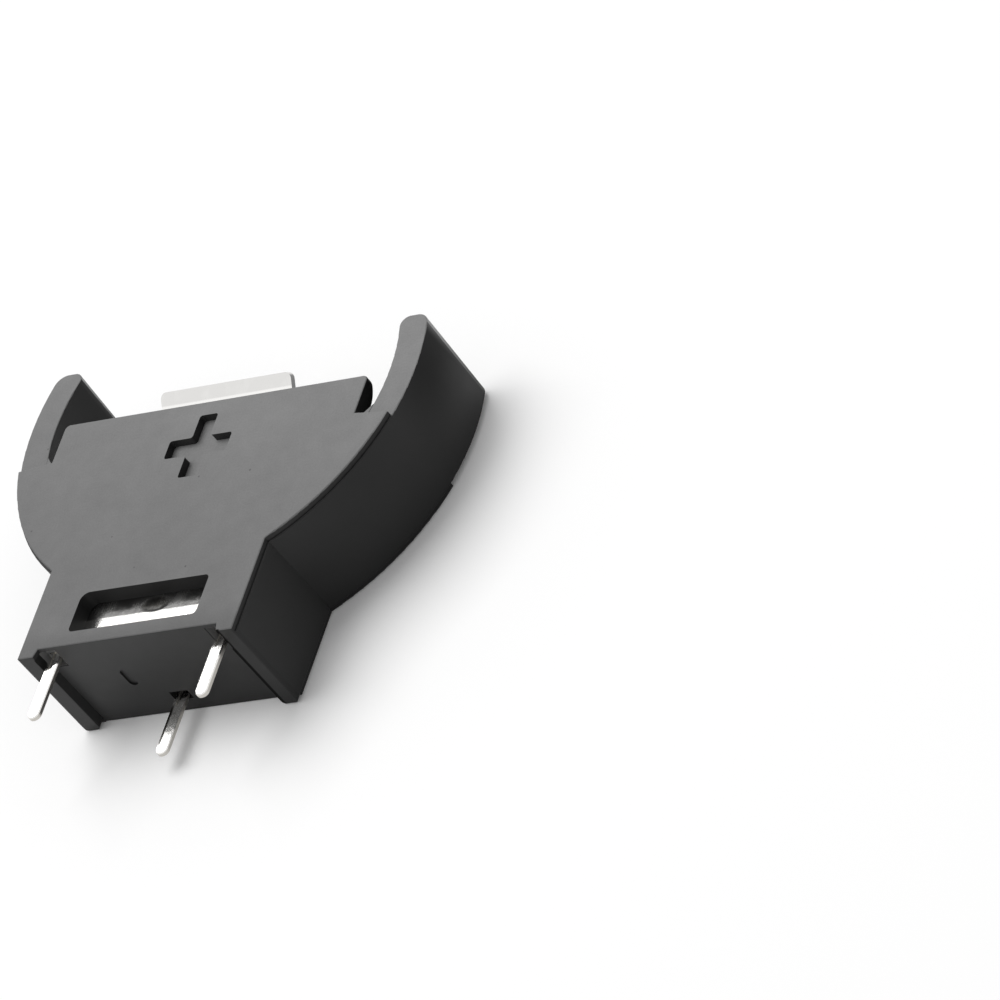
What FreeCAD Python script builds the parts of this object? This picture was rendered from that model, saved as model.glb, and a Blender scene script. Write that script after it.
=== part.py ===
"""Upright coin cell holder for a circuit board: a moulded cradle and two sheet metal contacts.

Lengths are millimetres. The holder lies on the back panel, so Z runs from the back panel to the
front one, X across the holder and Y away from the board. It is drawn with the board's face at
Y = 0 and moved at the end, so that the origin is below the middle of its overall box.
"""
import FreeCAD
import Part
import math
import os

from FreeCAD import Vector

# The coin and the room around it
coin_diameter = 20.0
coin_thickness = 3.2
coin_side_clearance = 0.2
coin_face_clearance = 0.3
sheet = 0.3

# The moulding's walls
panel_thickness = 0.9
cradle_wall = 1.6
face_step = 0.3
rim_ledge = 0.1
moulded_edge = 0.08
arm_edge = 0.05

# Heights above the board
seat_height = 4.85
shoulder_height = 12.35
shoulder_fall = 0.25
panel_height = 14.64
arm_height = 18.3
foot_height = 0.46
floor_thickness = 0.45

# Widths of the moulding
base_width = 13.2
foot_width = 1.05
foot_draft = 0.14
foot_corner = 0.2
foot_end_radius = 0.3
panel_top_width = 18.56
panel_corner = 0.3
lead_in_height = 1.3
lead_in_radius = 1.65
tip_inner_corner = 0.5
tip_outer_corner = 0.75
tip_fall = 0.27
web_width = 0.4
web_height = 0.62

# Front panel: window over the contact and the polarity mark
window_width = 7.75
window_height = 2.32
window_sill = 1.26
window_corner = 0.25
window_wide_corner = 0.5
mark_height = 11.88
mark_span = 3.8
mark_bar = 1.1
mark_depth = 0.45
mark_corner = 0.15

# Back panel: window over the spring with the shelf and pocket above it
back_window_width = 3.2
back_window_sill = 7.05
back_window_height = 2.7
shelf_height = 1.4
shelf_depth = 0.1
finger_pocket_width = 4.0
finger_pocket_height = 1.3
finger_pocket_depth = 0.35
back_window_corner = 0.2

# Ribs beside the front contact, and the mark left by the mould's gate
rib_width = 0.4
rib_height = 0.25
rib_start = 8.0
rib_end = 12.4
rib_gap = 0.08
gate_offset = 1.93
gate_length = 1.2
gate_width = 0.5
gate_depth = 0.1

# Terminal pins
pin_pitch = 10.16
pin_length = 3.0
pin_width = 0.72
pin_chamfer = 0.06
groove_width = 0.24
groove_depth = 0.06
groove_end = 0.15

# Front contact
front_contact_width = 8.0
ear_height = 2.1
ear_corner = 0.25
lip_bend_radius = 0.85
lip_angle = 38.0
lip_length = 0.91
lip_start = 14.75
lip_corner = 0.35

# Back contact
spring_width = 3.0
spring_tip_width = 2.5
spring_start = 5.6
spring_bend_radius = 1.2
spring_height = 14.6
spring_lean = 16.0
spring_tip_corner = 0.4

# Clearances
contact_clearance = 0.05
slot_side_clearance = 0.19
slot_face_clearance = 0.28
slot_front_clearance = 0.65

# Lengths below this one count as none
no_length = 1e-6

# Worked out from the above
slot = coin_thickness + 2 * sheet + coin_face_clearance
depth = slot + 2 * panel_thickness
pocket_radius = coin_diameter / 2 + coin_side_clearance
cradle_radius = pocket_radius + cradle_wall
panel_radius = cradle_radius - rim_ledge
axis_height = seat_height + pocket_radius
floor_top = foot_height + floor_thickness
base_half = base_width / 2
panel_base_half = base_half - rim_ledge
panel_half = panel_top_width / 2
front_inner = depth - panel_thickness
back_inner = panel_thickness
front_sheet = front_inner - sheet / 2
back_sheet = back_inner + sheet / 2


def height_on(radius, x):
    """Height above the board at which a circle about the coin's axis is x from the middle."""
    return axis_height - math.sqrt(radius**2 - x**2)


def width_on(radius, height):
    """Half width of a circle about the coin's axis at a height above the board."""
    return math.sqrt(radius**2 - (height - axis_height) ** 2)


def on_circle(radius, degrees):
    """Point on a circle about the coin's axis, by its angle above the horizontal."""
    angle = math.radians(degrees)
    return Vector(radius * math.cos(angle), axis_height + radius * math.sin(angle), 0)


def angle_of(point):
    """Angle of a point about the coin's axis, in degrees above the horizontal."""
    return math.degrees(math.atan2(point.y - axis_height, point.x))


def line(start, end):
    """Straight edge between two points."""
    return Part.LineSegment(start, end).toShape()


def arc_about_axis(radius, start_degrees, end_degrees):
    """Arc about the coin's axis between two angles."""
    middle = (start_degrees + end_degrees) / 2
    points = [on_circle(radius, degrees) for degrees in (start_degrees, middle, end_degrees)]
    return Part.Arc(*points).toShape()


def corner_arc(centre, radius, start_degrees, end_degrees):
    """Arc of a small corner about its own centre."""
    points = []
    for degrees in (start_degrees, (start_degrees + end_degrees) / 2, end_degrees):
        angle = math.radians(degrees)
        points.append(centre + Vector(math.cos(angle), math.sin(angle), 0) * radius)
    return Part.Arc(*points).toShape()


def extruded(edges, bottom, top):
    """Solid between two heights over the closed outline that the edges make."""
    wire = Part.Wire(Part.__sortEdges__(edges))
    wire.translate(Vector(0, 0, bottom))
    return Part.Face(wire).extrude(Vector(0, 0, top - bottom))


def both_sides(half_edges):
    """Edges of a half outline together with their mirror images across the middle."""
    mirrored = [edge.mirror(Vector(0, 0, 0), Vector(1, 0, 0)) for edge in half_edges]
    return half_edges + mirrored


def block(width, low, high, bottom, top, middle=0.0):
    """Box given by its width about a middle line, its two heights and its two depths."""
    corner = Vector(middle - width / 2, low, bottom)
    return Part.makeBox(width, high - low, top - bottom, corner)


def edges_along_depth(solid):
    """Edges of a solid that run along the depth, from one face to the other."""
    edges = []
    for edge in solid.Edges:
        box = edge.BoundBox
        if box.ZLength > no_length and max(box.XLength, box.YLength) < box.ZLength / 2:
            edges.append(edge)
    return edges


def rounded_block(width, low, high, bottom, top, radius, middle=0.0):
    """Box as above with its four edges along the depth rounded."""
    box = block(width, low, high, bottom, top, middle)
    return box.makeFillet(radius, edges_along_depth(box))


def underside_edges(outer):
    """Right half of the underside: the recessed floor and the foot with its drafted wall."""
    inner = base_half - foot_width
    root = Vector(inner - foot_draft, foot_height, 0)
    return [
        line(Vector(0, foot_height, 0), root),
        line(root, Vector(inner, 0, 0)),
        line(Vector(inner, 0, 0), Vector(outer, 0, 0)),
    ]


def panel_edges():
    """Right half of a panel's outline, from the floor's middle to the top edge's middle."""
    side = Vector(panel_base_half, height_on(panel_radius, panel_base_half), 0)
    outer_height = shoulder_height - shoulder_fall
    shoulder = Vector(width_on(panel_radius, outer_height), outer_height, 0)
    step = Vector(panel_half, shoulder_height, 0)
    corner = Vector(panel_half - panel_corner, panel_height - panel_corner, 0)
    return underside_edges(panel_base_half) + [
        line(Vector(panel_base_half, 0, 0), side),
        arc_about_axis(panel_radius, angle_of(side), angle_of(shoulder)),
        line(shoulder, step),
        line(step, Vector(panel_half, corner.y, 0)),
        corner_arc(corner, panel_corner, 0, 90),
        line(Vector(corner.x, panel_height, 0), Vector(0, panel_height, 0)),
    ]


def cradle_edges():
    """Right half of the cradle: the base's side, the arm, its tip and the coin's seat."""
    side = Vector(base_half, height_on(cradle_radius, base_half), 0)
    outer_tip = Vector(width_on(cradle_radius, arm_height), arm_height, 0)
    inner_tip = Vector(width_on(pocket_radius, arm_height), arm_height, 0)
    return underside_edges(base_half) + [
        line(Vector(base_half, 0, 0), side),
        arc_about_axis(cradle_radius, angle_of(side), angle_of(outer_tip)),
        line(outer_tip, inner_tip),
        arc_about_axis(pocket_radius, angle_of(inner_tip), -90),
    ]


def edges_at(solid, depth_of_edge):
    """Edges of a solid that lie flat at one depth."""
    flat = [edge for edge in solid.Edges if edge.BoundBox.ZLength < no_length]
    return [edge for edge in flat if abs(edge.BoundBox.ZMin - depth_of_edge) < no_length]


def lead_in(inner_face, outward):
    """What is taken off a panel's top on the coin's side, so that the coin finds the slot."""
    low = Vector(0, panel_height - lead_in_height, inner_face)
    curve = []
    for height in (0, lead_in_height / 2, lead_in_height):
        rise = lead_in_radius - math.sqrt(lead_in_radius**2 - height**2)
        curve.append(low + Vector(0, height, outward * rise))
    corner = low + Vector(0, lead_in_height, 0)
    profile = Part.Wire([Part.Arc(*curve).toShape(), line(curve[2], corner), line(corner, low)])
    taken = Part.Face(profile).extrude(Vector(panel_top_width, 0, 0))
    taken.translate(Vector(-panel_half, 0, 0))
    return taken


def foot_corner_cuts():
    """What is taken off the feet's outer corners to round them, one cut for each side."""
    centre = Vector(base_half - foot_corner, foot_corner, 0)
    corner = Vector(base_half, 0, 0)
    low, side = Vector(centre.x, 0, 0), Vector(base_half, centre.y, 0)
    edges = [corner_arc(centre, foot_corner, -90, 0), line(low, corner), line(corner, side)]
    cut = extruded(edges, 0, depth)
    return [cut, cut.mirror(Vector(0, 0, 0), Vector(1, 0, 0))]


def foot_end_cuts():
    """What is taken off the feet's back ends to round them in plan, one cut for each side."""
    inner = base_half - foot_width
    root = inner - foot_draft
    end = block(panel_base_half - root, 0, foot_height, 0, foot_end_radius, (panel_base_half + root) / 2)
    rail = block(panel_base_half - inner, 0, foot_height, 0, depth, (panel_base_half + inner) / 2)
    corners = []
    for edge in rail.Edges:
        if edge.BoundBox.YLength > no_length and edge.BoundBox.ZMax < no_length:
            corners.append(edge)
    cut = end.cut(rail.makeFillet(foot_end_radius, corners))
    return [cut, cut.mirror(Vector(0, 0, 0), Vector(1, 0, 0))]


def tip_cut():
    """What is taken off the arms' tops, which fall from the front to the back."""
    front, back = depth - face_step, face_step
    profile = Part.makePolygon([
        Vector(0, arm_height, front),
        Vector(0, arm_height - tip_fall, back),
        Vector(0, arm_height, back),
        Vector(0, arm_height, front),
    ])
    wedge = Part.Face(profile).extrude(Vector(2 * cradle_radius, 0, 0))
    wedge.translate(Vector(-cradle_radius, 0, 0))
    return wedge


def arms():
    """Base and arms between the two panels, with the tips sloped and rounded."""
    solid = extruded(both_sides(cradle_edges()), face_step, depth - face_step).cut(tip_cut())
    outer, inner = [], []
    for edge in edges_along_depth(solid):
        if edge.BoundBox.YMin > panel_height:
            radius = math.hypot(edge.BoundBox.Center.x, edge.BoundBox.Center.y - axis_height)
            (outer if radius > pocket_radius + cradle_wall / 2 else inner).append(edge)
    return solid.makeFillet(tip_outer_corner, outer).makeFillet(tip_inner_corner, inner)


def notch_webs():
    """Small webs that fill the corners between the front panel's shoulders and the arms."""
    top = shoulder_height + web_height
    corner = Vector(width_on(pocket_radius, shoulder_height), shoulder_height, 0)
    high = Vector(width_on(pocket_radius, top), top, 0)
    low = corner - Vector(web_width, 0, 0)
    wall = arc_about_axis(pocket_radius, angle_of(corner), angle_of(high))
    web = extruded([line(low, high), line(low, corner), wall], front_inner, depth - face_step)
    return [web, web.mirror(Vector(0, 0, 0), Vector(1, 0, 0))]


def is_arm_rim(edge):
    """Whether an edge beside a panel bounds the arm or the base, and not the panel."""
    middle = edge.valueAt((edge.FirstParameter + edge.LastParameter) / 2)
    if edge.Curve.TypeId != "Part::GeomCircle":
        return abs(middle.x) > base_half - rim_ledge / 2 and middle.y < shoulder_height / 2
    beyond_panel = math.hypot(middle.x, middle.y - axis_height) > panel_radius + rim_ledge / 2
    return beyond_panel or middle.y > shoulder_height


def moulding():
    """Base and arms with a panel on each side, rounded along the outer rims."""
    back = extruded(both_sides(panel_edges()), 0, back_inner)
    front = extruded(both_sides(panel_edges()), front_inner, depth)
    body = arms().fuse([back, front]).removeSplitter()
    body = body.makeFillet(moulded_edge, edges_at(body, 0) + edges_at(body, depth))
    arm_faces = edges_at(body, face_step) + edges_at(body, depth - face_step)
    return body.makeFillet(arm_edge, [edge for edge in arm_faces if is_arm_rim(edge)])


def polarity_mark():
    """Sunk plus sign in the front panel."""
    floor = depth - mark_depth
    low = mark_height - mark_span / 2
    across = block(mark_span, mark_height - mark_bar / 2, mark_height + mark_bar / 2, floor, depth)
    upright = block(mark_bar, low, low + mark_span, floor, depth)
    plus = across.fuse(upright).removeSplitter()
    return plus.makeFillet(mark_corner, edges_along_depth(plus))


def front_window():
    """Window over the front contact, with one corner wider than the other three."""
    opening = block(window_width, window_sill, window_sill + window_height, front_inner, depth)
    wide, others = [], []
    for edge in edges_along_depth(opening):
        place = edge.BoundBox.Center
        is_wide = place.x < 0 and place.y > window_sill + window_height / 2
        (wide if is_wide else others).append(edge)
    return opening.makeFillet(window_wide_corner, wide).makeFillet(window_corner, others)


def back_openings():
    """Window over the spring, and the shelf and wider pocket above it in the back panel."""
    shelf = back_window_sill + back_window_height
    pocket = shelf + shelf_height
    window = rounded_block(
        back_window_width, back_window_sill, shelf, 0, panel_thickness, back_window_corner
    )
    step = block(back_window_width, shelf - back_window_corner, pocket, 0, shelf_depth)
    finger = rounded_block(
        finger_pocket_width, pocket, pocket + finger_pocket_height, 0, finger_pocket_depth,
        back_window_corner,
    )
    return [window, step, finger]


def contact_channel(width, bottom, top):
    """Channel in the base for a contact's foot, open to the coin's slot."""
    mouth = height_on(pocket_radius, width / 2) + 2 * contact_clearance
    return block(width, floor_top, mouth, bottom, top)


def pin_slot(middle, sheet_depth):
    """Hole through the floor for one pin, wider than the pin all round."""
    width = pin_width + 2 * slot_side_clearance
    near, far = sheet_depth - sheet / 2, sheet_depth + sheet / 2
    if sheet_depth > depth / 2:
        return block(width, 0, floor_top, near - slot_face_clearance, far + slot_front_clearance, middle)
    return block(width, 0, floor_top, near - contact_clearance, far + slot_face_clearance, middle)


def guide_ribs():
    """Two low ribs on the front panel's inner face, one each side of the contact."""
    inner = front_contact_width / 2 + rib_gap
    ribs = []
    for side in (-1, 1):
        middle = side * (inner + rib_width / 2)
        low = front_inner - rib_height
        ribs.append(block(rib_width, rib_start, rib_end, low, front_inner, middle))
    return ribs


def gate_mark():
    """Shallow oval in the floor, where the moulding was filled."""
    straight = gate_length - gate_width
    middle = Vector(-gate_offset, foot_height, depth / 2 + straight / 2)
    ends = []
    for shift in (0, -straight):
        centre = middle + Vector(0, 0, shift)
        ends.append(Part.makeCylinder(gate_width / 2, gate_depth, centre, Vector(0, 1, 0)))
    bar = block(
        gate_width, foot_height, foot_height + gate_depth,
        middle.z - straight, middle.z, middle.x,
    )
    return ends[0].fuse([ends[1], bar]).removeSplitter()


def housing():
    """The whole moulding in one piece."""
    body = moulding().fuse(guide_ribs() + notch_webs())
    ear_width = pin_pitch + pin_width + 2 * contact_clearance
    sheet_room = sheet + contact_clearance
    cuts = [
        lead_in(front_inner, 1),
        lead_in(back_inner, -1),
        front_window(),
        polarity_mark(),
        contact_channel(ear_width, front_inner - sheet_room, front_inner),
        contact_channel(spring_width + 2 * contact_clearance, back_inner, back_inner + sheet_room),
        pin_slot(-pin_pitch / 2, front_sheet),
        pin_slot(pin_pitch / 2, front_sheet),
        pin_slot(0, back_sheet),
        gate_mark(),
        *foot_corner_cuts(),
        *foot_end_cuts(),
        *back_openings(),
    ]
    return body.cut(cuts).removeSplitter()


def bent_strip(start, runs, width, outward):
    """Sheet metal strip whose edge follows straight runs and bends.

    start is the height and depth of the strip's middle line where it begins, pointing up.
    Each run is (length, 0) for a straight or (radius, degrees) for a bend, and a bend with
    positive degrees turns towards outward, which is +1 or -1 along the depth.
    """
    here = Vector(0, *start)
    heading = 0.0
    near, far = [], []
    for size, degrees in runs:
        along = Vector(0, math.cos(heading), math.sin(heading) * outward)
        across = Vector(0, -math.sin(heading), math.cos(heading) * outward)
        sides = [across * (sheet / 2), across * (-sheet / 2)]
        if degrees == 0:
            end = here + along * size
            near.append(line(here + sides[0], end + sides[0]))
            far.append(line(here + sides[1], end + sides[1]))
            here = end
            continue
        turn = math.radians(degrees)
        centre = here + across * (size * math.copysign(1, turn))
        points = []
        for part_turn in (0, turn / 2, turn):
            angle = heading + part_turn
            spoke = Vector(0, -math.sin(angle), math.cos(angle) * outward)
            points.append((centre - spoke * (size * math.copysign(1, turn)), spoke))
        near.append(Part.Arc(*[point + spoke * (sheet / 2) for point, spoke in points]).toShape())
        far.append(Part.Arc(*[point - spoke * (sheet / 2) for point, spoke in points]).toShape())
        here = points[2][0]
        heading += turn
    first = line(near[0].Vertexes[0].Point, far[0].Vertexes[0].Point)
    last = line(near[-1].Vertexes[-1].Point, far[-1].Vertexes[-1].Point)
    wire = Part.Wire(Part.__sortEdges__(near + far + [first, last]))
    strip = Part.Face(wire).extrude(Vector(width, 0, 0))
    strip.translate(Vector(-width / 2, 0, 0))
    return strip


def pin(middle, sheet_depth):
    """One terminal pin: round tip, broken edges and a short groove at the root of each broad face."""
    bottom, top = sheet_depth - sheet / 2, sheet_depth + sheet / 2
    half = pin_width / 2
    tip = Vector(0, half - pin_length, 0)
    outline = [
        line(Vector(0, floor_top, 0), Vector(half, floor_top, 0)),
        line(Vector(half, floor_top, 0), Vector(half, tip.y, 0)),
        corner_arc(tip, half, 0, -90),
    ]
    blank = extruded(both_sides(outline), bottom, top)
    blank = blank.makeChamfer(pin_chamfer, edges_at(blank, bottom) + edges_at(blank, top))
    grooves = []
    for floor in (bottom, top - groove_depth):
        grooves.append(block(groove_width, -groove_end, floor_top, floor, floor + groove_depth))
    blank = blank.cut(grooves)
    blank.translate(Vector(middle, 0, 0))
    return blank


def front_contact_outline():
    """Front view of the front contact's sheet: wide foot with two ears, body and lip."""
    half = front_contact_width / 2
    foot_half = (pin_pitch + pin_width) / 2
    foot_top = floor_top + contact_clearance + ear_height
    top = lip_start + 2 * lip_length + lip_bend_radius
    edges = [
        line(Vector(0, floor_top, 0), Vector(foot_half, floor_top, 0)),
        line(Vector(foot_half, floor_top, 0), Vector(foot_half, foot_top - ear_corner, 0)),
        corner_arc(Vector(foot_half - ear_corner, foot_top - ear_corner, 0), ear_corner, 0, 90),
        line(Vector(foot_half - ear_corner, foot_top, 0), Vector(half, foot_top, 0)),
        line(Vector(half, foot_top, 0), Vector(half, top, 0)),
        line(Vector(half, top, 0), Vector(0, top, 0)),
    ]
    return extruded(both_sides(edges), 0, depth)


def is_lip_corner(edge):
    """Whether an edge of the front contact crosses the sheet at a corner of the lip's end."""
    crosses_sheet = abs(edge.Length - sheet) < no_length and edge.BoundBox.XLength < no_length
    return crosses_sheet and edge.BoundBox.YMin > lip_start


def positive_contact():
    """Front contact: a flat sheet on the front panel, a flared lip above it and two pins."""
    straight = lip_start - floor_top
    runs = [(straight, 0), (lip_bend_radius, lip_angle), (lip_length, 0)]
    strip = bent_strip((floor_top, front_sheet), runs, base_width, 1)
    shaped = strip.common(front_contact_outline())
    corners = [edge for edge in shaped.Edges if is_lip_corner(edge)]
    shaped = shaped.makeFillet(lip_corner, corners)
    pins = [pin(side * pin_pitch / 2, front_sheet) for side in (-1, 1)]
    return shaped.fuse(pins).removeSplitter()


def spring_runs():
    """Runs of the back contact: up through the base, then one long bow towards the coin."""
    lean = math.radians(spring_lean)
    span = spring_height - spring_start - spring_bend_radius * math.sin(lean)
    bow_radius = span / 2 / math.sin(lean)
    return [
        (spring_start - floor_top, 0),
        (spring_bend_radius, spring_lean),
        (bow_radius, -2 * spring_lean),
    ]


def negative_contact():
    """Back contact: a tapered spring tongue bowed towards the coin, and one pin."""
    strip = bent_strip((floor_top, back_sheet), spring_runs(), spring_width, 1)
    top = strip.BoundBox.YMax
    half = spring_width / 2
    tip_half = spring_tip_width / 2
    edges = [
        line(Vector(0, floor_top, 0), Vector(half, floor_top, 0)),
        line(Vector(half, floor_top, 0), Vector(half, spring_start, 0)),
        line(Vector(half, spring_start, 0), Vector(tip_half, top - spring_tip_corner, 0)),
        corner_arc(
            Vector(tip_half - spring_tip_corner, top - spring_tip_corner, 0), spring_tip_corner, 0, 90
        ),
        line(Vector(tip_half - spring_tip_corner, top, 0), Vector(0, top, 0)),
    ]
    shaped = strip.common(extruded(both_sides(edges), 0, depth))
    return shaped.fuse(pin(0, back_sheet)).removeSplitter()


def main():
    """Build the three pieces, put the origin below the middle of the whole and write them."""
    pieces = {
        "housing": housing(),
        "positive_contact": positive_contact(),
        "negative_contact": negative_contact(),
    }
    middle_height = (arm_height - pin_length) / 2
    os.makedirs("parts", exist_ok=True)
    for name, shape in pieces.items():
        shape.translate(Vector(0, -middle_height, 0))
        shape.exportStep(f"parts/{name}.step")
        box = shape.BoundBox
        print(
            name, len(shape.Solids), shape.isValid(), round(shape.Volume, 3),
            [round(value, 3) for value in (box.XMin, box.YMin, box.ZMin, box.XMax, box.YMax, box.ZMax)],
        )


main()
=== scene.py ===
"""Looks of the upright coin cell holder: moulded grain, plated contacts and a plain studio.

Lengths are metres. The holder lies on its back panel, X across it, Y away from its board and Z
up through the marked front panel.
"""

import logging
import math
from dataclasses import dataclass, field
from enum import Enum
from typing import Union

import bpy
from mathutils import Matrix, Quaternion, Vector

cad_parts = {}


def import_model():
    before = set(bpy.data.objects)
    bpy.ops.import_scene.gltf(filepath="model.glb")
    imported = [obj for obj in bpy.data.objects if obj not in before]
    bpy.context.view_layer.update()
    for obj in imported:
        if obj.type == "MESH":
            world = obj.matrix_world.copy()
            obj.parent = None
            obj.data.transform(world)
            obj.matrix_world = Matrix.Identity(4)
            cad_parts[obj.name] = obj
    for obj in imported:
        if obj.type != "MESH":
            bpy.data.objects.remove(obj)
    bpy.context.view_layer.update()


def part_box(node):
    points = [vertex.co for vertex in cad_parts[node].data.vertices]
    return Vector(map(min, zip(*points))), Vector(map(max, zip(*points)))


log = logging.getLogger("coin_cell_holder")

MM = 0.001
Number = Union[int, float]
Colour = tuple[float, float, float, float]


def grey(level: float, warmth: float = 0.0) -> Colour:
    """A grey, or one that leans to yellow.

    Args:
        level: Linear brightness.
        warmth: Share by which blue falls and red rises.

    Returns:
        Linear red, green, blue and alpha.
    """
    return (level * (1 + warmth / 2), level, level * (1 - warmth), 1.0)


class Term:
    """A number in a shader, so that its maths reads as an expression."""

    def __init__(self, graph: "Graph", socket: bpy.types.NodeSocket) -> None:
        """Keep the graph and the socket that carries the number."""
        self.graph = graph
        self.socket = socket

    def _math(self, operation: str, *values: "Term | Number") -> "Term":
        """Add one Math node.

        Args:
            operation: The node's operation.
            values: Its inputs in order.

        Returns:
            The node's result.
        """
        node = self.graph.node("ShaderNodeMath", {"operation": operation}, dict(enumerate(values)))
        return Term(self.graph, node.outputs[0])

    def __add__(self, other: "Term | Number") -> "Term":
        """Sum."""
        return self._math("ADD", self, other)

    __radd__ = __add__

    def __sub__(self, other: "Term | Number") -> "Term":
        """Difference."""
        return self._math("SUBTRACT", self, other)

    def __rsub__(self, other: Number) -> "Term":
        """Difference from a plain number."""
        return self._math("SUBTRACT", other, self)

    def __mul__(self, other: "Term | Number") -> "Term":
        """Product."""
        return self._math("MULTIPLY", self, other)

    __rmul__ = __mul__

    def __abs__(self) -> "Term":
        """Size without sign."""
        return self._math("ABSOLUTE", self)

    def at_most(self, limit: Number) -> "Term":
        """The term, or the limit where the term is above it."""
        return self._math("MINIMUM", self, limit)

    def between(self, low: float, high: float) -> "Term":
        """Soft step that is 0 below one value and 1 above another.

        Args:
            low: Where the step starts.
            high: Where it ends.

        Returns:
            The step.
        """
        settings = {"interpolation_type": "SMOOTHSTEP"}
        inputs = {"Value": self, "From Min": low, "From Max": high}
        node = self.graph.node("ShaderNodeMapRange", settings, inputs)
        return Term(self.graph, node.outputs["Result"])


class Graph:
    """One material's or world's nodes."""

    def __init__(self, owner: "bpy.types.Material | bpy.types.World") -> None:
        """Start from an empty tree.

        Args:
            owner: The material or world that the nodes belong to.
        """
        owner.use_nodes = True
        self.tree = owner.node_tree
        self.tree.nodes.clear()

    def node(
        self, kind: str, settings: "dict | None" = None, inputs: "dict | None" = None,
    ) -> bpy.types.Node:
        """Add a node.

        Args:
            kind: The node's type.
            settings: Properties that are set before the sockets.
            inputs: Values, terms or sockets for the inputs, by name or number.

        Returns:
            The new node.
        """
        node = self.tree.nodes.new(kind)
        for name, value in (settings or {}).items():
            setattr(node, name, value)
        for key, value in (inputs or {}).items():
            if isinstance(value, Term):
                value = value.socket
            if isinstance(value, bpy.types.NodeSocket):
                self.tree.links.new(value, node.inputs[key])
            else:
                node.inputs[key].default_value = value
        return node

    def place(self, scale: "tuple[float, float, float]" = (1, 1, 1)) -> bpy.types.NodeSocket:
        """Object coordinates, stretched where a pattern runs along one axis.

        Args:
            scale: Factor along each axis.

        Returns:
            The coordinates.
        """
        coordinates = self.node("ShaderNodeTexCoord").outputs["Object"]
        if scale == (1, 1, 1):
            return coordinates
        mapping = self.node("ShaderNodeMapping", {}, {"Vector": coordinates, "Scale": scale})
        return mapping.outputs["Vector"]

    def axis(self, which: str, source: str = "Object") -> Term:
        """One component of the object's coordinates or of its surface's direction.

        Args:
            which: X, Y or Z.
            source: Object or Normal.

        Returns:
            The component.
        """
        vector = self.node("ShaderNodeTexCoord").outputs[source]
        parts = self.node("ShaderNodeSeparateXYZ", {}, {"Vector": vector})
        return Term(self, parts.outputs[which])

    def noise(
        self, size: float, detail: float = 2.0, stretch: "tuple[float, float, float]" = (1, 1, 1),
    ) -> Term:
        """Soft noise about zero, from about -0.5 to 0.5.

        Args:
            size: Length of one blotch.
            detail: How many finer layers are added.
            stretch: Factor on the coordinates along each axis.

        Returns:
            The noise.
        """
        inputs = {"Vector": self.place(stretch), "Scale": 1 / size, "Detail": detail}
        node = self.node("ShaderNodeTexNoise", {}, inputs)
        return Term(self, node.outputs[0]) - 0.5

    def specks(self, spacing: float, radius: float) -> Term:
        """Small round spots strewn over the surface.

        Args:
            spacing: Mean distance between spots.
            radius: A spot's radius as a share of the spacing.

        Returns:
            1 in a spot and 0 outside it.
        """
        node = self.node("ShaderNodeTexVoronoi", {}, {"Vector": self.place(), "Scale": 1 / spacing})
        return 1 - Term(self, node.outputs["Distance"]).between(radius / 2, radius)

    def tint(
        self,
        mask: "Term | float",
        low: "Colour | bpy.types.NodeSocket",
        high: "Colour | bpy.types.NodeSocket",
    ) -> bpy.types.NodeSocket:
        """Mix of two colours.

        Args:
            mask: Share of the second colour.
            low: Colour where the mask is 0.
            high: Colour where the mask is 1.

        Returns:
            The mixed colour.
        """
        node = self.node("ShaderNodeMix", {"data_type": "RGBA"}, {0: mask, 6: low, 7: high})
        return node.outputs[2]

    def bump(self, height: Term, depth: float) -> bpy.types.NodeSocket:
        """Surface relief.

        Args:
            height: Relief as a share of the depth, so in metres where the depth is 1.
            depth: The relief's depth.

        Returns:
            The bent surface direction.
        """
        inputs = {"Strength": 1.0, "Distance": depth, "Height": height}
        return self.node("ShaderNodeBump", {}, inputs).outputs["Normal"]

    def surface(
        self, inputs: dict, painted_shade_share: "Term | None" = None, dark: Colour = (0.0, 0.0, 0.0, 1.0),
    ) -> None:
        """Finish the material with one surface shader, and a dull dark one where shade is painted.

        Args:
            inputs: Values or links for the shader's sockets.
            painted_shade_share: Share of the painted shade.
            dark: Colour of the painted shade.
        """
        shader = self.node("ShaderNodeBsdfPrincipled", {}, inputs)
        if painted_shade_share is not None:
            # Dull dark shader for painted shade.
            dull = self.node("ShaderNodeBsdfDiffuse", {}, {"Color": dark})
            both = {0: painted_shade_share, 1: shader.outputs[0], 2: dull.outputs[0]}
            shader = self.node("ShaderNodeMixShader", {}, both)
        self.node("ShaderNodeOutputMaterial", {}, {"Surface": shader.outputs[0]})


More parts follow.
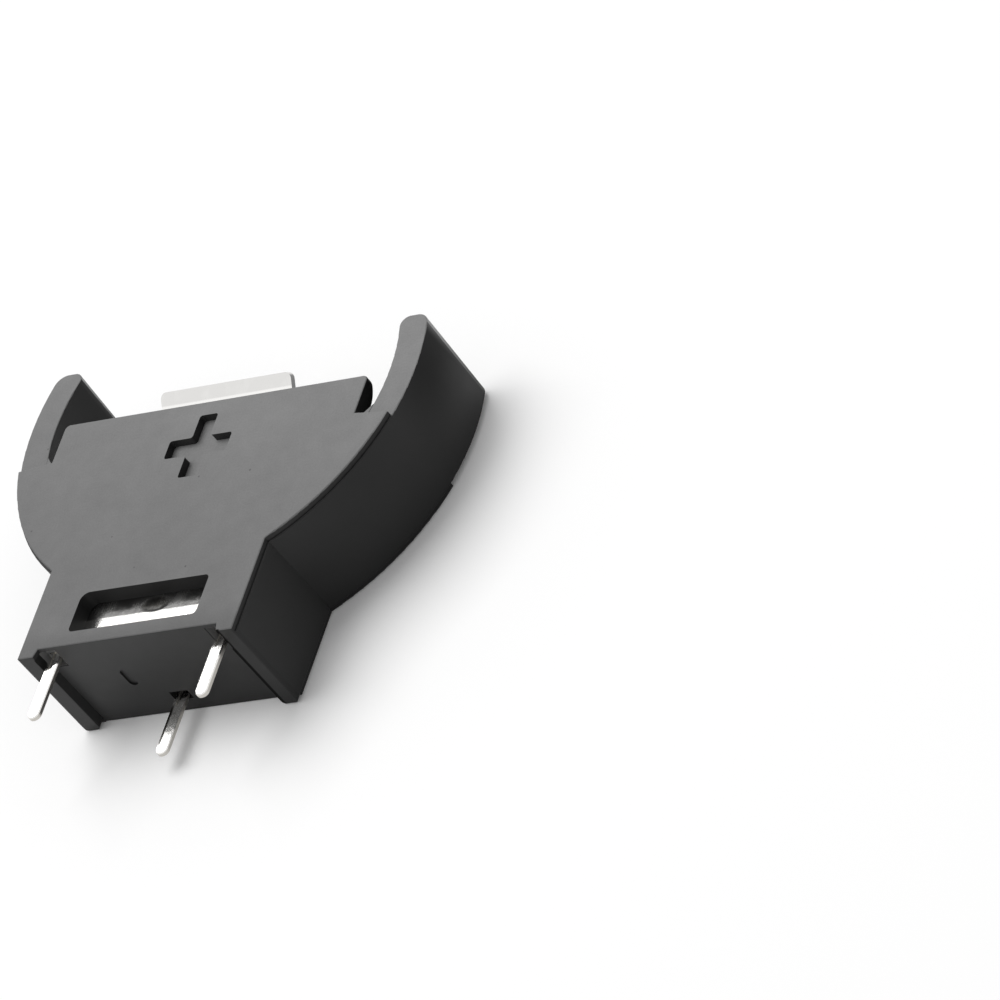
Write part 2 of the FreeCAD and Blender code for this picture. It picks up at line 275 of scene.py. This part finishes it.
@dataclass(frozen=True)
class MouldedPlastic:
    """Black plastic: spark-eroded grain on the panels' outer faces, smoother walls.

    Places are in the part's own frame, and a pair is where a soft step starts and ends. The ledge is
    the narrow step outside the panels' rims, the crease is the painted shade along the right foot's
    inner edge. The faces' pale grey is partly painted sheen. Painted light makes the faces paler
    from the sill upwards, the underside paler towards its front left and the front pins' slots less
    dark; a painted highlight lies on the arms' outer roundings, and painted shade on the right
    arm's upper wall.
    """

    # The faces' grey is partly the grain's and partly painted sheen.
    face_grey_and_painted_sheen: float = 0.182
    face_span: float = 2.0
    wall_level: float = 0.020
    wall_cloud: float = 0.4
    grain: float = 0.10 * MM
    blotch: float = 0.8 * MM
    cloud: float = 4.0 * MM
    mottle: float = 0.56
    mottle_grain: float = 0.55
    mottle_blotch: float = 0.35
    mottle_cloud: float = 0.35
    mottle_speck: float = 0.8
    grain_depth: float = 0.012 * MM
    relief_blotch: float = 0.25
    face_roughness: float = 0.6
    face_rough_grain: float = 0.12
    wall_roughness: float = 0.42
    wall_rough_blotch: float = 0.10
    specular: float = 0.16
    speck_spacing: float = 1.7 * MM
    speck_radius: float = 0.045
    face_band: tuple[float, float] = (2.36 * MM, 2.44 * MM)
    face_turn: tuple[float, float] = (0.35, 0.55)
    ledge_depth: tuple[float, float] = (2.70 * MM, 2.78 * MM)
    ledge_side: tuple[float, float] = (4.0 * MM, 5.0 * MM)
    ledge_top: tuple[float, float] = (4.35 * MM, 4.50 * MM)
    # Painted shade: a dark line along the right foot's inner edge.
    crease_side: float = 5.62 * MM
    crease_width: tuple[float, float] = (0.07 * MM, 0.15 * MM)
    crease_height: tuple[float, float] = (-7.62 * MM, -7.55 * MM)
    painted_shade_level: float = 0.012
    # Painted highlight on the outer roundings of the arms' ends.
    tip_highlight_level: float = 0.30
    tip_slope: tuple[float, float] = (0.172, 0.222)
    tip_end: tuple[float, float] = (0.78, 0.95)
    tip_height: tuple[float, float] = (8.8 * MM, 9.8 * MM)
    tip_depth: tuple[float, float] = (0.5 * MM, 5.4 * MM)
    # Painted light on the grained faces, paler from the sill upwards and towards the right.
    low_share: float = 0.68
    sill_share: float = 0.17
    painted_sill_light: tuple[float, float] = (-7.2 * MM, -5.9 * MM)
    upper_share: float = 0.33
    painted_upper_light: tuple[float, float] = (-7.0 * MM, 15.0 * MM)
    upper_slant: float = 0.3
    # Painted shade on the right arm's upper wall: a lower level and a dull dark shader mixed in.
    arm_shade_mix: float = 0.5
    arm_shade_share: float = 0.8
    arm_side: tuple[float, float] = (5.0 * MM, 7.0 * MM)
    arm_height: tuple[float, float] = (4.0 * MM, 8.0 * MM)
    arm_depth: tuple[float, float] = (1.5 * MM, 5.0 * MM)
    # Painted light on the underside, towards its front left and under the left foot.
    foot_side: tuple[float, float] = (-5.7 * MM, -5.5 * MM)
    underside: tuple[float, float] = (-7.5 * MM, -7.35 * MM)
    underside_turn: tuple[float, float] = (-0.9, -0.5)
    underside_left: tuple[float, float] = (-6.0 * MM, 4.0 * MM)
    underside_front: tuple[float, float] = (2.0 * MM, 6.0 * MM)
    underside_painted_light: float = 0.014
    # Painted light inside the front pins' slots.
    slot_side: float = 5.08 * MM
    slot_half: tuple[float, float] = (0.57 * MM, 0.62 * MM)
    slot_back: tuple[float, float] = (4.2 * MM, 4.4 * MM)
    slot_front: tuple[float, float] = (5.68 * MM, 5.76 * MM)
    slot_mouth: tuple[float, float] = (-7.18 * MM, -7.12 * MM)
    slot_root: tuple[float, float] = (-5.6 * MM, -5.4 * MM)
    slot_painted_light: float = 0.20

    def material(self, middle: float) -> bpy.types.Material:
        """Make the plastic.

        Args:
            middle: Height of the holder's middle plane, halfway between its two panels.

        Returns:
            The material.
        """
        material = bpy.data.materials.new("black_moulded_plastic")
        graph = Graph(material)
        face = self.faces(graph, middle)
        grain = graph.noise(self.grain, 3.0)
        blotch = graph.noise(self.blotch, 3.0)
        cloud = graph.noise(self.cloud)
        specks = graph.specks(self.speck_spacing, self.speck_radius)
        mottle = grain * self.mottle_grain + blotch * self.mottle_blotch + cloud * self.mottle_cloud
        mottle = (mottle - specks * self.mottle_speck) * self.mottle
        # The faces' colour: grain, painted light and a grey that is partly painted sheen.
        face_share = (mottle + 1) * self.painted_face_light(graph) * (self.face_grey_and_painted_sheen / self.face_span)
        face_colour = graph.tint(face_share, grey(0.0), grey(self.face_span))
        # The walls' level with painted light under the holder and in the slots, and painted shade on the
        # right arm.
        wall_share = (cloud * self.wall_cloud + 1) * self.wall_level_and_painted_light(graph)
        wall_colour = graph.tint(wall_share, grey(0.0), grey(1.0))
        # Painted highlight on the arms' outer roundings.
        painted_tip_highlight = self.painted_tip_highlight(graph)
        with_tip_highlight = graph.tint(painted_tip_highlight, wall_colour, grey(self.tip_highlight_level))
        # Painted shade: the dull dark shader mixed in on the right arm's upper wall.
        dull = self.arm(graph) * (1 - painted_tip_highlight) * (1 - face) * self.arm_shade_mix
        rough_face = grain * self.face_rough_grain + self.face_roughness
        rough_wall = blotch * self.wall_rough_blotch + self.wall_roughness
        relief = grain * face + blotch * self.relief_blotch
        # The dull dark shader paints shade on the foot's crease line and the right arm's wall.
        graph.surface({
            "Base Color": graph.tint(face, with_tip_highlight, face_colour),
            "Roughness": rough_face * face + rough_wall * (1 - face),
            "Specular IOR Level": self.specular,
            "Normal": graph.bump(relief, self.grain_depth),
        }, self.crease(graph) + dull, grey(self.painted_shade_level))
        return material

    def faces(self, graph: Graph, middle: float) -> Term:
        """Where the grain and the partly painted sheen lie: the outer faces without the ledge beside their
        rims.

        Args:
            graph: The plastic's nodes.
            middle: Height of the holder's middle plane.

        Returns:
            1 on the grained faces and 0 elsewhere.
        """
        depth = abs(graph.axis("Z") - middle)
        flat = abs(graph.axis("Z", "Normal")).between(*self.face_turn)
        ledge = abs(graph.axis("X")).between(*self.ledge_side) * (1 - depth.between(*self.ledge_depth))
        ledge = ledge * (1 - graph.axis("Y").between(*self.ledge_top))
        return depth.between(*self.face_band) * flat * (1 - ledge)

    def arm(self, graph: Graph) -> Term:
        """Painted shade on the upper wall of the right arm, towards the front panel.

        Args:
            graph: The plastic's nodes.

        Returns:
            1 where the wall is darkest.
        """
        right = graph.axis("X").between(*self.arm_side)
        upper = graph.axis("Y").between(*self.arm_height)
        return right * upper * graph.axis("Z").between(*self.arm_depth)

    def painted_face_light(self, graph: Graph) -> Term:
        """Painted light: how pale the grained faces are along the holder's height and across it.

        Args:
            graph: The plastic's nodes.

        Returns:
            Factor on the faces' level.
        """
        height = graph.axis("Y")
        sill = height.between(*self.painted_sill_light)
        upper = (height + graph.axis("X") * self.upper_slant).between(*self.painted_upper_light)
        return sill * self.sill_share + upper * self.upper_share + self.low_share

    def wall_level_and_painted_light(self, graph: Graph) -> Term:
        """Level of the smooth walls, with painted light on the underside and in the front pins' slots,
        and painted shade on the right arm's upper wall.

        Args:
            graph: The plastic's nodes.

        Returns:
            The level.
        """
        height = graph.axis("Y")
        depth = graph.axis("Z")
        below = 1 - graph.axis("Y", "Normal").between(*self.underside_turn)
        left = 1 - graph.axis("X").between(*self.underside_left)
        front = depth.between(*self.underside_front)
        floor = below * height.between(*self.underside) * (left + front) * self.underside_painted_light
        foot = below * (1 - graph.axis("X").between(*self.foot_side)) * self.underside_painted_light
        slot = 1 - abs(abs(graph.axis("X")) - self.slot_side).between(*self.slot_half)
        slot = slot * depth.between(*self.slot_back) * (1 - depth.between(*self.slot_front))
        slot = slot * height.between(*self.slot_mouth) * (1 - height.between(*self.slot_root))
        wall = (1 - self.arm(graph) * self.arm_shade_share) * self.wall_level
        return floor + foot + slot * self.slot_painted_light + wall

    def crease(self, graph: Graph) -> Term:
        """Painted shade: a dark line along the right foot's inner edge.

        Args:
            graph: The plastic's nodes.

        Returns:
            1 on the line and 0 elsewhere.
        """
        line = 1 - abs(graph.axis("X") - self.crease_side).between(*self.crease_width)
        return line * (1 - graph.axis("Y").between(*self.crease_height))

    def painted_tip_highlight(self, graph: Graph) -> Term:
        """Painted highlight on the outer roundings of each arm's end, strongest near the front.

        Args:
            graph: The plastic's nodes.

        Returns:
            Share of the painted highlight.
        """
        slope = graph.axis("Y", "Normal")
        painted_tip_highlight = slope.between(*self.tip_slope) * (1 - slope.between(*self.tip_end))
        painted_tip_highlight = painted_tip_highlight * graph.axis("Y").between(*self.tip_height)
        return painted_tip_highlight * graph.axis("Z").between(*self.tip_depth)


@dataclass(frozen=True)
class PlatedMetal:
    """Tin-plated strip: bright broad faces with rolling lines, warmer sheared edges.

    Places are in the part's own frame. A pair is where a soft step starts and ends, apart from the
    dimple's centre and half sizes and the stain's range. The front contact lies beyond front_depth.
    Relief tilts the faces of the back pin and the left front pin as if they were bent.
    """

    level: float = 0.80
    warmth: float = 0.02
    edge_level: float = 0.55
    edge_warmth: float = 0.07
    edge_turn: tuple[float, float] = (0.25, 0.5)
    roughness: float = 0.15
    rough_lines: float = 0.10
    rough_stain: float = 0.08
    edge_roughness: float = 0.34
    stain: float = 0.9 * MM
    stain_range: tuple[float, float] = (0.93, 1.05)
    line: float = 0.05 * MM
    line_depth: float = 0.0016 * MM
    along: float = 0.04
    dent: float = 0.3 * MM
    dent_depth: float = 0.006 * MM
    front_depth: tuple[float, float] = (1.5 * MM, 3.5 * MM)
    dimple_centre: tuple[float, float] = (0.15 * MM, -4.62 * MM)
    dimple_half: tuple[float, float] = (0.85 * MM, 0.45 * MM)
    dimple_edge: tuple[float, float] = (0.5, 1.3)
    dimple_depth: float = 0.012 * MM
    # The dimple's dark colour is a painted reflection.
    dimple_painted_reflection: float = 0.05
    dimple_share: float = 0.85
    dimple_dents: float = 1.2
    # Painted shade on the front contact's strip under the window's upper edge, which is also rougher.
    haze_height: tuple[float, float] = (-5.12 * MM, -5.00 * MM)
    haze_top: tuple[float, float] = (-3.9 * MM, -3.7 * MM)
    haze: float = 0.09
    haze_stain: float = 0.2
    haze_shade_level: float = 0.15
    lip_height: tuple[float, float] = (4.0 * MM, 4.2 * MM)
    lip_gain: float = 1.15
    # The lip's cut edges are darker still: painted shade.
    lip_edge_shade: float = 0.4
    flare_height: tuple[float, float] = (7.67 * MM, 7.75 * MM)
    flare_level: float = 0.74
    flare_stain: float = 0.9
    lean: float = 0.105
    lean_start: float = -7.6 * MM
    twist_across: float = -0.19
    twist_along: float = 0.17
    twist_axis: float = -5.08 * MM
    twist_side: tuple[float, float] = (-4.2 * MM, -4.0 * MM)
    twist_height: tuple[float, float] = (-7.8 * MM, -7.35 * MM)
    # Painted shade along the back pin's left edge.
    rim_side: tuple[float, float] = (-0.20 * MM, -0.12 * MM)
    rim_root: tuple[float, float] = (-8.0 * MM, -7.6 * MM)
    rim_end: tuple[float, float] = (-10.5 * MM, -9.9 * MM)
    rim_shade_level: float = 0.05

    def material(self) -> bpy.types.Material:
        """Make the metal.

        Returns:
            The material.
        """
        material = bpy.data.materials.new("tin_plated_strip")
        graph = Graph(material)
        edge = 1 - abs(graph.axis("Z", "Normal")).between(*self.edge_turn)
        lines = graph.noise(self.line, 2.0, (1.0, self.along, 1.0))
        stain = graph.noise(self.stain, 3.0)
        dents = graph.noise(self.dent, 2.0)
        haze_and_painted_shade = self.haze_and_painted_shade(graph)
        pit = self.dimple(graph)
        broad = self.broad(graph, stain)
        # Painted shade on the strip under the window's upper edge.
        broad = graph.tint(haze_and_painted_shade, broad, grey(self.haze_shade_level, self.warmth))
        # Painted dark reflection in the dimple.
        painted_dimple_reflection = pit * (self.dimple_share + dents * self.dimple_dents)
        broad = graph.tint(painted_dimple_reflection, broad, grey(self.dimple_painted_reflection, self.edge_warmth))
        # Painted shade along the back pin's left edge.
        broad = graph.tint(self.painted_rim_shade(graph), broad, grey(self.rim_shade_level, self.edge_warmth))
        lip = graph.axis("Y").between(*self.lip_height)
        bare = grey(self.edge_level, self.edge_warmth)
        # The lip's cut edges are darker still: painted shade.
        sheared = graph.tint(lip, bare, grey(self.edge_level * self.lip_edge_shade))
        rough = self.roughness + lines * self.rough_lines + stain * self.rough_stain
        rough = rough + haze_and_painted_shade * (self.haze + stain * self.haze_stain)
        relief = lines * self.line_depth + dents * self.dent_depth
        relief = relief + self.leaning(graph) * (1 - edge) - pit * self.dimple_depth
        graph.surface({
            "Base Color": graph.tint(edge, broad, sheared),
            "Metallic": 1.0,
            "Roughness": rough * (1 - edge) + self.edge_roughness * edge,
            "Normal": graph.bump(relief, 1.0),
        })
        return material

    def broad(self, graph: Graph, stain: Term) -> bpy.types.NodeSocket:
        """Colour of the broad faces, a little brighter on the lip and darker, in blotches, on its flare.

        Args:
            graph: The metal's nodes.
            stain: Soft blotches about zero.

        Returns:
            The colour.
        """
        low, high = (self.level * share for share in self.stain_range)
        lip = graph.axis("Y").between(*self.lip_height)
        flare = graph.axis("Y").between(*self.flare_height)
        colour = graph.tint(stain + 0.5, grey(low, self.warmth * 2), grey(high, self.warmth))
        colour = graph.tint(lip, colour, grey(self.level * self.lip_gain, self.warmth))
        blotched = flare * (1 + stain * self.flare_stain)
        return graph.tint(blotched, colour, grey(self.flare_level, self.warmth))

    def dimple(self, graph: Graph) -> Term:
        """Shallow oval dimple in the front contact, seen through the window, with a painted dark reflection.

        Args:
            graph: The metal's nodes.

        Returns:
            1 in the dimple and 0 outside it.
        """
        across = (graph.axis("X") - self.dimple_centre[0]) * (1 / self.dimple_half[0])
        up = (graph.axis("Y") - self.dimple_centre[1]) * (1 / self.dimple_half[1])
        inside = 1 - (across * across + up * up).between(*self.dimple_edge)
        return inside * graph.axis("Z").between(*self.front_depth)

    def haze_and_painted_shade(self, graph: Graph) -> Term:
        """Rougher strip of the front contact under the window's upper edge, its colour darkened as painted
        shade.

        Args:
            graph: The metal's nodes.

        Returns:
            1 on the strip and 0 elsewhere.
        """
        height = graph.axis("Y")
        strip = height.between(*self.haze_height) * (1 - height.between(*self.haze_top))
        return strip * graph.axis("Z").between(*self.front_depth)

    def painted_rim_shade(self, graph: Graph) -> Term:
        """Painted shade along the back pin's left edge.

        Args:
            graph: The metal's nodes.

        Returns:
            1 along the edge and 0 elsewhere.
        """
        height = graph.axis("Y")
        along = height.between(*self.rim_end) * (1 - height.between(*self.rim_root))
        back = 1 - graph.axis("Z").between(*self.front_depth)
        return (1 - graph.axis("X").between(*self.rim_side)) * along * back

    def leaning(self, graph: Graph) -> Term:
        """Relief that tilts the faces of the back pin and the left front pin, as if they were bent.

        Args:
            graph: The metal's nodes.

        Returns:
            Height in metres, 0 on the rest of the contacts.
        """
        back = 1 - graph.axis("Z").between(*self.front_depth)
        left = 1 - graph.axis("X").between(*self.twist_side)
        below = (graph.axis("Y") - self.lean_start).at_most(0.0)
        across = graph.axis("X") - self.twist_axis
        across = across * (1 - graph.axis("Y").between(*self.twist_height))
        along = below * (back * self.lean + left * self.twist_along)
        return along + across * left * self.twist_across


class Seat(Enum):
    """Which side of the holder a contact lies on."""

    FRONT = "positive_contact"
    BACK = "negative_contact"


@dataclass
class Moulding:
    """The one-piece plastic body."""

    finish: MouldedPlastic = field(default_factory=MouldedPlastic)

    def dress(self) -> None:
        """Give the moulding its plastic."""
        low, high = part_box("housing")
        housing = bpy.data.objects["housing"]
        paint(housing, self.finish.material((low.z + high.z) / 2))


@dataclass
class Contacts:
    """The two stamped contacts."""

    finish: PlatedMetal = field(default_factory=PlatedMetal)

    def dress(self) -> None:
        """Give both contacts their plating."""
        material = self.finish.material()
        for seat in Seat:
            paint(bpy.data.objects[seat.value], material)


@dataclass
class Viewpoint:
    """The photograph's viewing angle, with its long lens and its tilt."""

    azimuth: float = 46.657
    elevation: float = 36.948
    tilt: float = -41.286
    distance: float = 0.34671
    aim: tuple[float, float, float] = (14.495 * MM, 3.124 * MM, 0.0)
    lens: float = 264.9
    sensor: float = 36.0
    clip: tuple[float, float] = (0.01, 10.0)

    def set_up(self) -> None:
        """Place the camera and make it the scene's."""
        azimuth = math.radians(self.azimuth)
        elevation = math.radians(self.elevation)
        towards = Vector((
            math.sin(azimuth) * math.cos(elevation),
            -math.cos(azimuth) * math.cos(elevation),
            math.sin(elevation),
        ))
        data = bpy.data.cameras.new("camera")
        data.lens = self.lens
        data.sensor_width = self.sensor
        data.clip_start, data.clip_end = self.clip
        camera = bpy.data.objects.new("camera", data)
        bpy.context.scene.collection.objects.link(camera)
        camera.location = Vector(self.aim) + towards * self.distance
        camera.rotation_mode = "QUATERNION"
        turn = Quaternion((0, 0, 1), math.radians(self.tilt))
        camera.rotation_quaternion = towards.to_track_quat("Z", "Y") @ turn
        bpy.context.scene.camera = camera


@dataclass
class Studio:
    """White sheet under the holder, one soft key light and pale surroundings."""

    floor_size: float = 2.0
    floor_level: float = 0.95
    floor_glow: float = 0.037
    sky_level: float = 0.42
    key_from: tuple[float, float, float] = (-0.42, 0.28, 0.95)
    key_distance: float = 1.2
    key_size: float = 1.05
    key_radiance: float = 3.6

    def floor(self) -> None:
        """Lay the sheet that the holder lies on."""
        deselect()
        bpy.ops.mesh.primitive_plane_add(size=self.floor_size, location=(0, 0, 0))
        floor = bpy.context.object
        floor.name = "floor"
        material = bpy.data.materials.new("white_sheet")
        graph = Graph(material)
        seen = Term(graph, graph.node("ShaderNodeLightPath").outputs["Is Camera Ray"])
        glow = graph.node("ShaderNodeEmission", {}, {"Color": grey(1.0), "Strength": seen * self.floor_glow})
        paper = graph.node("ShaderNodeBsdfDiffuse", {}, {"Color": grey(self.floor_level)})
        both = graph.node("ShaderNodeAddShader", {}, {0: paper.outputs[0], 1: glow.outputs[0]})
        graph.node("ShaderNodeOutputMaterial", {}, {"Surface": both.outputs[0]})
        paint(floor, material)

    def sky(self) -> None:
        """Surroundings that look white and give a weaker even light."""
        world = bpy.data.worlds.new("surroundings")
        bpy.context.scene.world = world
        graph = Graph(world)
        path = graph.node("ShaderNodeLightPath")
        seen = Term(graph, path.outputs["Is Camera Ray"])
        mirrored = Term(graph, path.outputs["Is Glossy Ray"])
        through = Term(graph, path.outputs["Is Transmission Ray"])
        direct = seen + mirrored + through
        strength = direct * (1 - self.sky_level) + self.sky_level
        background = graph.node("ShaderNodeBackground", {}, {"Color": grey(1.0), "Strength": strength})
        graph.node("ShaderNodeOutputWorld", {}, {"Surface": background.outputs[0]})

    def key(self) -> None:
        """Hang the soft light that the front panel mirrors."""
        data = bpy.data.lights.new("key", "AREA")
        data.shape = "SQUARE"
        data.size = self.key_size
        data.energy = self.key_radiance * math.pi * self.key_size**2
        lamp = bpy.data.objects.new("key", data)
        bpy.context.scene.collection.objects.link(lamp)
        direction = Vector(self.key_from).normalized()
        lamp.location = direction * self.key_distance
        lamp.rotation_mode = "QUATERNION"
        lamp.rotation_quaternion = direction.to_track_quat("Z", "Y")

    def set_up(self) -> None:
        """Build floor, surroundings and light."""
        self.floor()
        self.sky()
        self.key()
        bpy.context.scene.view_settings.view_transform = "Standard"


def deselect() -> None:
    """Leave nothing selected, so that an operator acts on new pieces alone."""
    bpy.ops.object.select_all(action="DESELECT")


def paint(piece: bpy.types.Object, material: bpy.types.Material) -> None:
    """Give a piece one material.

    Args:
        piece: The piece.
        material: What covers it.
    """
    piece.data.materials.clear()
    piece.data.materials.append(material)
    log.info("%s: %s", piece.name, material.name)


def main() -> None:
    """Dress the holder and set up the studio round it."""
    logging.basicConfig(level=logging.INFO, format="%(name)s: %(message)s")
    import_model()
    Viewpoint().set_up()
    Studio().set_up()
    for part in (Moulding(), Contacts()):
        part.dress()


if __name__ == "__main__":
    main()
